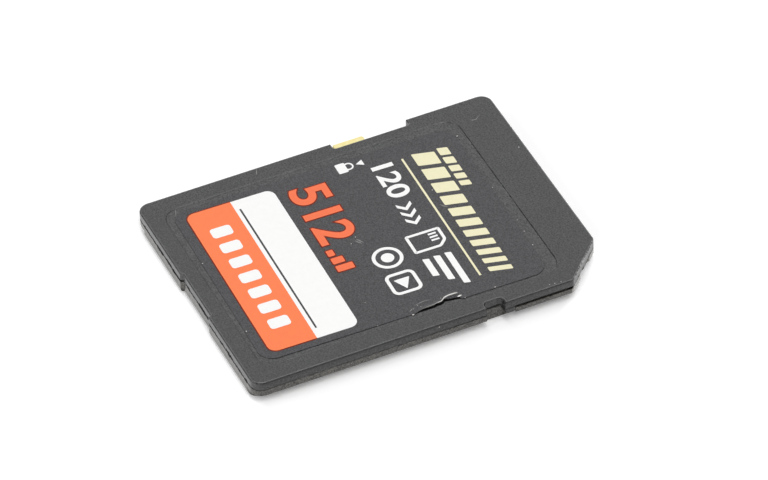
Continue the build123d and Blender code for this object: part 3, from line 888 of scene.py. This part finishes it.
# %% [markdown]
# ## Gold stripes
#
# The front part of the label is printed in pale gold: a thin rule across it, and above the rule two
# rows of slanted stripes that get narrower to the right. One loop makes a row, because each stripe is
# a fixed share of the one before it.

# %% Gold rule and stripes
GOLD_RULE = {"left": -7.91, "right": 7.84, "low": 7.08, "high": 7.26}
SLANT = 0.25  # sideways shift for each millimetre of height
STRIPE_CORNER = 0.1
STRIPE_ROWS = [
    {"low": 8.05, "high": 9.95, "left": -8.1, "first": 1.58, "share": 0.9, "gap": 0.5, "count": 11},
    {"low": 10.25, "high": 11.15, "left": -7.9, "first": 0.95, "share": 0.9, "gap": 0.3, "count": 5},
]

gold_print = bmesh.new()
add_bar(gold_print, **GOLD_RULE)
for row in STRIPE_ROWS:
    left, width, shift = row["left"], row["first"], SLANT * (row["high"] - row["low"])
    for _ in range(row["count"]):
        add_bar(gold_print, left, left + width, row["low"], row["high"], shift, STRIPE_CORNER)
        left, width = left + width + row["gap"], width * row["share"]
print_ink(gold_print, "gold_stripes", gold_ink)
print("last stripe is", round(width / row["share"], 2), "mm wide")

# %% [markdown]
# ## Figures
#
# The print has a large and a small number. Their outlines could be drawn point by point, but Blender's
# own typeface has them, in a text object. It is made a mesh first and placed afterwards. The strokes are
# fattened a little with the text's offset, because printed figures are bold.

# %% Plain figures
CAPITAL_SHARE = 0.73  # height of a figure as a share of the text size


def add_number(mesh, figures, left, low, height, width, boldness, grow=0.0):
    """Plain figures of a given height and width; grow makes them larger all round."""
    text = bpy.data.curves.new("figures", "FONT")
    text.body = figures
    text.size = height / CAPITAL_SHARE
    text.offset = boldness + grow
    holder = bpy.data.objects.new("figures", text)
    outline = bpy.data.meshes.new_from_object(holder)
    known = len(mesh.verts)
    mesh.from_mesh(outline)
    for face in mesh.faces:
        face.smooth = False
    mesh.verts.ensure_lookup_table()
    fresh = mesh.verts[known:]
    start = min(point.co.x for point in fresh)
    base = min(point.co.y for point in fresh)
    wide = max(point.co.x for point in fresh) - start
    tall = max(point.co.y for point in fresh) - base
    fitted = Matrix.Diagonal(((width + 2 * grow) / wide, (height + 2 * grow) / tall, 1.0, 1.0))
    corner = Matrix.Translation((left - grow, low - grow, 0))
    placed = corner @ fitted @ Matrix.Translation((-start, -base, 0))
    bmesh.ops.transform(mesh, matrix=placed, verts=fresh)
    bmesh.ops.remove_doubles(mesh, verts=fresh, dist=MERGE)
    bpy.data.objects.remove(holder)
    bpy.data.curves.remove(text)
    bpy.data.meshes.remove(outline)


print("a figure is", CAPITAL_SHARE, "of the text size")

# %% Large number with rising bars
LARGE_NUMBER = {
    "figures": "512", "left": -8.2, "low": -3.13, "height": 3.4, "width": 7.4, "boldness": 0.11}
BAR_LEFT = -0.15
BAR_PITCH = 1.0
BAR_WIDTH = 0.75
BAR_LOW = -3.1
BAR_TOPS = (-2.5, -2.05, -1.6)
BAR_CORNER = 0.1

number_layers = [("large_number_edge", overlap_ink, OVERLAP), ("large_number", vermilion_ink, 0.0)]
for layer, (name, ink, grow) in enumerate(number_layers):
    large_number = bmesh.new()
    add_number(large_number, **LARGE_NUMBER, grow=grow)
    for number, top in enumerate(BAR_TOPS):
        left = BAR_LEFT + BAR_PITCH * number - grow
        right = left + BAR_WIDTH + 2 * grow
        add_bar(large_number, left, right, BAR_LOW - grow, top + grow, rounding=BAR_CORNER + grow)
    print_ink(large_number, name, ink, layer)
print("large number is", LARGE_NUMBER["height"], "mm high")

# %% Small number with chevrons
SMALL_NUMBER = {
    "figures": "120", "left": -7.95, "low": 4.32, "height": 1.95, "width": 4.3, "boldness": 0.06}
CHEVRON_TIPS = (-1.9, -0.95, 0.0)
CHEVRON_DEPTH = 0.6  # from the tip back to the ends
CHEVRON_STROKE = 0.4
CHEVRON_LINE = 5.0
CHEVRON_HALF = 0.65

small_number = bmesh.new()
add_number(small_number, **SMALL_NUMBER)
low, high = CHEVRON_LINE - CHEVRON_HALF, CHEVRON_LINE + CHEVRON_HALF
for tip in CHEVRON_TIPS:
    back = tip - CHEVRON_DEPTH
    chevron = [
        (back - CHEVRON_STROKE, low), (back, low), (tip, CHEVRON_LINE), (back, high),
        (back - CHEVRON_STROKE, high), (tip - CHEVRON_STROKE, CHEVRON_LINE)]
    add_plate(small_number, chevron)
print_ink(small_number, "small_number", white_ink)
print("small number is", SMALL_NUMBER["height"], "mm high")

# %% [markdown]
# ## Signs
#
# White signs fill the right half: a card with a cut corner beside three lines, a lens and a play
# sign. A padlock and an arrow at the left edge show which way the slider locks. A frame could have two
# outlines, but it is simpler to inset one plate and take out its middle.

# %% Card and lines
CARD_OUTLINE = [(1.0, 3.4), (3.3, 3.4), (3.3, 5.8), (2.6, 6.5), (1.0, 6.5)]
CARD_CORNER = 0.2
CARD_STROKE = 0.26
SLIT_LEFTS = (1.45, 1.83, 2.21)
SLIT_WIDTH = 0.2
SLIT_LOW = 5.3
SLIT_HIGH = 6.0
LINE_LEFT = 4.1
LINE_ENDS = (8.1, 7.2, 6.3)
LINE_LOW = 5.6
LINE_PITCH = 0.98
LINE_HEIGHT = 0.55
LINE_CORNER = 0.08


def hollow(mesh, plate, thickness):
    """Leave a frame of a flat plate."""
    bmesh.ops.inset_region(
        mesh, faces=[plate], thickness=thickness, use_boundary=True, use_even_offset=True)
    bmesh.ops.delete(mesh, geom=[plate], context="FACES_ONLY")


card_sign = bmesh.new()
add_plate(card_sign, CARD_OUTLINE, CARD_CORNER)
card_sign.faces.ensure_lookup_table()
hollow(card_sign, card_sign.faces[0], CARD_STROKE)
for left in SLIT_LEFTS:
    add_bar(card_sign, left, left + SLIT_WIDTH, SLIT_LOW, SLIT_HIGH)
for number, right in enumerate(LINE_ENDS):
    low = LINE_LOW - LINE_PITCH * number
    add_bar(card_sign, LINE_LEFT, right, low, low + LINE_HEIGHT, SLANT * LINE_HEIGHT, LINE_CORNER)
print_ink(card_sign, "card_sign", white_ink)
print("lines beside the card:", len(LINE_ENDS))

# %% Lens and play sign
SIGN_STROKE = 0.3
LENS_MIDDLE = (2.7, 1.2)
LENS_RADIUS = 1.3
PUPIL_RADIUS = 0.55
PLAY_FRAME = {"left": 4.65, "right": 7.25, "low": -0.1, "high": 2.5, "rounding": 0.6}
PLAY_ARROW = [(5.45, 0.5), (6.75, 1.2), (5.45, 1.9)]
PLAY_CORNER = 0.1


def add_disc(mesh, middle, radius):
    """One flat disc; returns its face."""
    place = Matrix.Translation((*middle, 0.0))
    made = bmesh.ops.create_circle(mesh, cap_ends=True, radius=radius, segments=48, matrix=place)
    return made["verts"][0].link_faces[0]


lens_sign = bmesh.new()
hollow(lens_sign, add_disc(lens_sign, LENS_MIDDLE, LENS_RADIUS), SIGN_STROKE)
add_disc(lens_sign, LENS_MIDDLE, PUPIL_RADIUS)
known_faces = set(lens_sign.faces)
add_bar(lens_sign, **PLAY_FRAME)
hollow(lens_sign, next(face for face in lens_sign.faces if face not in known_faces), SIGN_STROKE)
add_plate(lens_sign, PLAY_ARROW, PLAY_CORNER)
print_ink(lens_sign, "lens_and_play", white_ink)
print("lens is", 2 * LENS_RADIUS, "mm across")

# %% Padlock and arrow
LOCK_ARROW = [(-9.28, 4.09), (-8.93, 3.44), (-8.58, 4.09)]
ARROW_CORNER = 0.04
LOCK_BODY = {"left": -9.55, "right": -8.35, "low": 1.75, "high": 2.6, "rounding": 0.12}
SHACKLE_MIDDLE = (-8.95, 2.78)
SHACKLE_RADIUS = 0.45
SHACKLE_STROKE = 0.15

lock_sign = bmesh.new()
add_plate(lock_sign, LOCK_ARROW, ARROW_CORNER)
add_bar(lock_sign, **LOCK_BODY)
known_faces = set(lock_sign.faces)
hollow(lock_sign, add_disc(lock_sign, SHACKLE_MIDDLE, SHACKLE_RADIUS), SHACKLE_STROKE)
shackle = [face for face in lock_sign.faces if face not in known_faces]
shackle_parts = {part for face in shackle for part in (*face.verts, *face.edges)} | set(shackle)
bmesh.ops.bisect_plane(
    lock_sign, geom=list(shackle_parts), plane_co=(0, LOCK_BODY["high"], 0), plane_no=(0, -1, 0),
    clear_outer=True, dist=MERGE)
print_ink(lock_sign, "lock_sign", white_ink)
print("shackle is", 2 * SHACKLE_RADIUS, "mm wide")

# %% [markdown]
# ## Scratches
#
# A few scratches and scuffs show on the card. A noise in the material could scatter such marks, but
# strips lie exactly where the card has them. A scratch is a thin strip that follows a short path and
# almost runs out at both ends. Each starts as a grid one cell wide, and its points move onto the path.

# %% Scratches
SCRATCH_STEPS = 12
SCRATCH_HEIGHT = 0.004
SCRATCH_TIP = 0.04  # the share of the taper that is left off at each end
TOP = cad_high.z / MM
FILM_TOP = label_high.z / MM
SCRATCHES = {
    "scratch_front_corner": ([(-9.76, 13.2), (-9.4, 13.35), (-9.35, 13.73), (-9.8, 14.31)], 0.08, TOP),
    "scratch_rear_corner": ([(-10.25, -13.2), (-9.8, -13.35), (-9.3, -13.55)], 0.06, TOP),
    "scratch_left_rail": ([(-11.8, -5.2), (-11.1, -5.5)], 0.06, TOP),
    "scuff_film_rule": ([(-1.1, 6.5), (-0.75, 6.77), (-0.55, 7.0)], 0.12, FILM_TOP),
    "scuff_film_middle": ([(-0.33, -1.42), (0.02, -1.22), (0.3, -1.05)], 0.13, FILM_TOP),
    "scuff_film_beside": ([(-0.2, -1.58), (0.12, -1.4), (0.4, -1.2)], 0.12, FILM_TOP),
    "graze_film_front": ([(9.11, -0.6), (8.98, -0.14), (8.9, 0.44), (9.0, 0.97)], 0.07, FILM_TOP),
    "graze_film_rear": ([(9.59, -1.26), (9.37, -0.94), (9.28, -0.68)], 0.07, FILM_TOP),
    "scuff_fold_end": ([(9.64, 3.02), (9.62, 3.2), (9.59, 3.42)], 0.15, FILM_TOP),
}

# Scratched plastic turns pale and dull, and torn film is nearly white.
whitened = clouded("stress_whitened_plastic", "#6c6c6b", "#8b8b89", 0.1, (0.5, 0.6), 0.004)
bare_film = clouded("torn_polyester_film", "#dddbd6", "#f4f2ee", 0.1, (0.4, 0.5), 0.004)
for name, (path, width, height) in SCRATCHES.items():
    strip = bmesh.new()
    bmesh.ops.create_grid(strip, x_segments=SCRATCH_STEPS, y_segments=1, size=1.0)
    path_x = [(number / (len(path) - 1), x) for number, (x, y) in enumerate(path)]
    path_y = [(number / (len(path) - 1), y) for number, (x, y) in enumerate(path)]
    lengthwise = (Vector(path[-1]) - Vector(path[0])).normalized()
    for vertex in strip.verts:
        share = (vertex.co.x + 1) / 2
        taper = math.sin(math.pi * (SCRATCH_TIP + (1 - 2 * SCRATCH_TIP) * share))
        aside = vertex.co.y * taper * width / 2
        x = between(path_x, share) - lengthwise.y * aside
        y = between(path_y, share) + lengthwise.x * aside
        vertex.co = (x, y, height)
    thicken(strip, SCRATCH_HEIGHT)
    finish = bare_film if name == "scuff_fold_end" else whitened
    make_piece(strip, name, finish, from_mm)
print("scratches:", len(SCRATCHES))

# %% [markdown]
# ## Dust
#
# Specks of lint lie in the groove round the label and here and there on the card. A particle system
# could scatter them, but a list of places and sizes puts each one where the card has it. A speck is a
# small ball that is squashed and turned by a seeded random number, so every run gives the same dust. All
# specks are one mesh.

# %% Dust
SPECKS = [
    (-8.2, 11.45, 2.05, 0.16), (-1.1, 11.3, 2.05, 0.12), (4.9, 11.3, 2.05, 0.14), (6.7, 11.2, 2.05, 0.12),
    (-4.6, 15.4, 2.1, 0.13), (6.95, -3.95, 2.08, 0.09), (5.8, -13.95, 2.08, 0.14),
    (-3.2, -13.85, 2.08, 0.13), (9.9, -4.2, 2.08, 0.1), (9.95, 6.25, 2.08, 0.12),
    (10.0, -1.09, 2.08, 0.2), (10.03, 3.53, 2.09, 0.12), (9.21, 1.74, 2.085, 0.09),
    (9.4, -0.13, 2.085, 0.08), (9.17, -0.32, 2.085, 0.07), (9.4, -0.77, 2.085, 0.07),
    (-2.99, 6.71, 2.085, 0.12), (-0.56, -1.36, 2.085, 0.13), (0.03, -2.02, 2.085, 0.12),
    (11.66, 10.3, 2.1, 0.09), (11.72, 10.75, 2.1, 0.1), (11.75, 11.3, 2.1, 0.08),
    (5.1, 11.05, 2.05, 0.09), (3.4, 11.4, 2.05, 0.08), (1.2, 11.35, 2.05, 0.08),
]
SIDE_SPECKS = [(0.28, 1.82, 0.13), (-7.55, 1.09, 0.1)]  # on the near side: along, up, size
SEED = 7
BREADTH = (0.5, 0.9)  # of a speck, as a share of its length
HEIGHT = (0.4, 0.6)

chance = random.Random(SEED)
dust = bmesh.new()
specks = [(Vector((x, y, z)), size) for x, y, z, size in SPECKS]
specks += [(Vector((SIDE / MM, y, z)), size) for y, z, size in SIDE_SPECKS]
for spot, size in specks:
    squash = Matrix.Diagonal((1.0, chance.uniform(*BREADTH), chance.uniform(*HEIGHT), 1.0))
    turn = Matrix.Rotation(chance.uniform(0, math.pi), 4, "Z")
    bmesh.ops.create_icosphere(
        dust, subdivisions=2, radius=size / 2, matrix=Matrix.Translation(spot) @ turn @ squash)
# Lint is a tangle of pale fibres, so it has hardly any gloss.
lint = clouded("lint_and_dust", "#b4b2ad", "#dad8d3", 0.05, (0.8, 0.95), 0.01)
make_piece(dust, "dust_specks", lint, from_mm)
print("specks:", len(specks))

low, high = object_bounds()
print("visual box in mm:", [round(side / MM, 3) for side in high - low])
